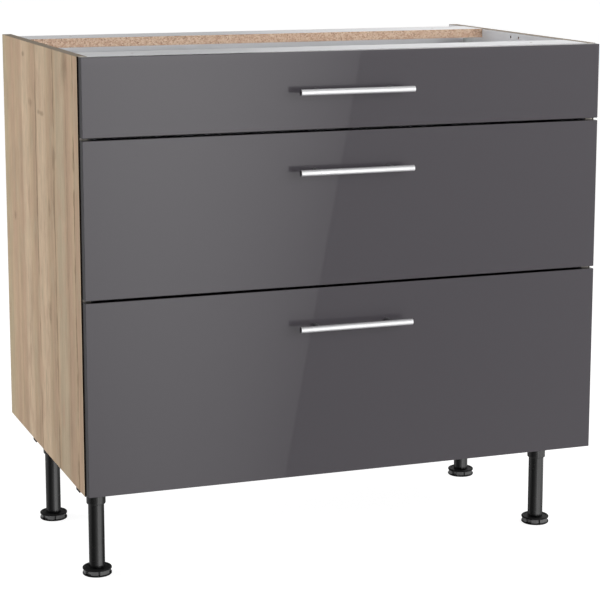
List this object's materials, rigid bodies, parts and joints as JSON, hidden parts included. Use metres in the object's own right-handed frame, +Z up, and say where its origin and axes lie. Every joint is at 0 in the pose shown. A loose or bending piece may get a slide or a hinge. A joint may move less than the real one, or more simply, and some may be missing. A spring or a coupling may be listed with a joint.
{
  "type": "kitchen base cabinet",
  "caption": "Free-standing kitchen base cabinet with full-width pull-out drawers, glossy flat fronts, round bar handles, an open rail top and adjustable legs.",
  "frame": {"origin": "on the floor, at the middle of the bounding box: midway between the outer faces of the sides, and midway between the handles' front and the rear edges of the sides", "axes": "+X to the right as the user sees the fronts, +Y to the rear, +Z up"},
  "size_m": [0.9, 0.613, 0.87],
  "materials": {
    "oak_board": "chipboard faced with a light oak decor outside and white inside, satin",
    "white_board": "white melamine-faced chipboard, satin",
    "white_base_board": "white lacquered thin board, satin",
    "hardboard": "hardboard, white lacquer inside, brown fibre behind",
    "edge_band": "thin decor edge band",
    "gloss_anthracite": "chipboard with a high-gloss anthracite foil",
    "brushed_metal": "satin brushed",
    "black_plastic": "moulded, fine satin",
    "galvanised_steel": "bright zinc plated sheet",
    "zinc_screw": "zinc plated",
    "die_cast_zinc": "as cast",
    "beech": "raw beech"
  },
  "bodies": {
    "carcass": {"left_side_panel": "oak_board", "right_side_panel": "oak_board", "bottom_panel": "white_board", "front_top_rail": "white_board", "rear_top_rail": "white_board", "back_panel": "hardboard", "carcass_edge_bands": "edge_band", "carcass_dowels": "beech", "carcass_connectors": "die_cast_zinc", "back_panel_screws": "zinc_screw", "leg_plates": "black_plastic", "leg_plate_screws": "zinc_screw", "leg_tubes": "black_plastic", "cabinet_rail_screws": "zinc_screw", "top_cabinet_rails": "galvanised_steel", "middle_cabinet_rails": "galvanised_steel", "bottom_cabinet_rails": "galvanised_steel"},
    "top_drawer": {"top_front": "gloss_anthracite", "top_handle_bar": "brushed_metal", "top_handle_posts": "brushed_metal", "top_handle_screws": "zinc_screw", "top_drawer_side_left": "white_board", "top_drawer_side_right": "white_board", "top_drawer_back": "white_board", "top_drawer_base": "white_base_board", "top_box_screws": "zinc_screw", "top_front_connectors": "die_cast_zinc", "top_drawer_rails": "galvanised_steel", "top_drawer_rail_screws": "zinc_screw"},
    "top_middle_runners": {"top_middle_rails": "galvanised_steel"},
    "middle_drawer": {"middle_front": "gloss_anthracite", "middle_handle_bar": "brushed_metal", "middle_handle_posts": "brushed_metal", "middle_handle_screws": "zinc_screw", "middle_drawer_side_left": "white_board", "middle_drawer_side_right": "white_board", "middle_drawer_back": "white_board", "middle_drawer_base": "white_base_board", "middle_box_screws": "zinc_screw", "middle_front_connectors": "die_cast_zinc", "middle_drawer_rails": "galvanised_steel", "middle_drawer_rail_screws": "zinc_screw"},
    "middle_middle_runners": {"middle_middle_rails": "galvanised_steel"},
    "bottom_drawer": {"bottom_front": "gloss_anthracite", "bottom_handle_bar": "brushed_metal", "bottom_handle_posts": "brushed_metal", "bottom_handle_screws": "zinc_screw", "bottom_drawer_side_left": "white_board", "bottom_drawer_side_right": "white_board", "bottom_drawer_back": "white_board", "bottom_drawer_base": "white_base_board", "bottom_box_screws": "zinc_screw", "bottom_front_connectors": "die_cast_zinc", "bottom_drawer_rails": "galvanised_steel", "bottom_drawer_rail_screws": "zinc_screw"},
    "bottom_middle_runners": {"bottom_middle_rails": "galvanised_steel"},
    "front_left_adjuster": {"front_left_foot": "black_plastic"},
    "front_right_adjuster": {"front_right_foot": "black_plastic"},
    "rear_left_adjuster": {"rear_left_foot": "black_plastic"},
    "rear_right_adjuster": {"rear_right_foot": "black_plastic"}
  },
  "joints": [
    {"name": "top_drawer_slide", "type": "slide", "parent": "carcass", "child": "top_drawer", "axis": [0, -1, 0], "range_m": [0, 0.45]},
    {"name": "top_runner_slide", "type": "slide", "parent": "carcass", "child": "top_middle_runners", "axis": [0, -1, 0], "range_m": [0, 0.225]},
    {"name": "middle_drawer_slide", "type": "slide", "parent": "carcass", "child": "middle_drawer", "axis": [0, -1, 0], "range_m": [0, 0.45]},
    {"name": "middle_runner_slide", "type": "slide", "parent": "carcass", "child": "middle_middle_runners", "axis": [0, -1, 0], "range_m": [0, 0.225]},
    {"name": "bottom_drawer_slide", "type": "slide", "parent": "carcass", "child": "bottom_drawer", "axis": [0, -1, 0], "range_m": [0, 0.45]},
    {"name": "bottom_runner_slide", "type": "slide", "parent": "carcass", "child": "bottom_middle_runners", "axis": [0, -1, 0], "range_m": [0, 0.225]},
    {"name": "front_left_foot_screw", "type": "slide", "parent": "carcass", "child": "front_left_adjuster", "axis": [0, 0, -1], "range_m": [0, 0.025]},
    {"name": "front_right_foot_screw", "type": "slide", "parent": "carcass", "child": "front_right_adjuster", "axis": [0, 0, -1], "range_m": [0, 0.025]},
    {"name": "rear_left_foot_screw", "type": "slide", "parent": "carcass", "child": "rear_left_adjuster", "axis": [0, 0, -1], "range_m": [0, 0.025]},
    {"name": "rear_right_foot_screw", "type": "slide", "parent": "carcass", "child": "rear_right_adjuster", "axis": [0, 0, -1], "range_m": [0, 0.025]}
  ],
  "couplings": [
    {"joint": "top_runner_slide", "follows": "top_drawer_slide", "ratio": 0.5},
    {"joint": "middle_runner_slide", "follows": "middle_drawer_slide", "ratio": 0.5},
    {"joint": "bottom_runner_slide", "follows": "bottom_drawer_slide", "ratio": 0.5}
  ]
}
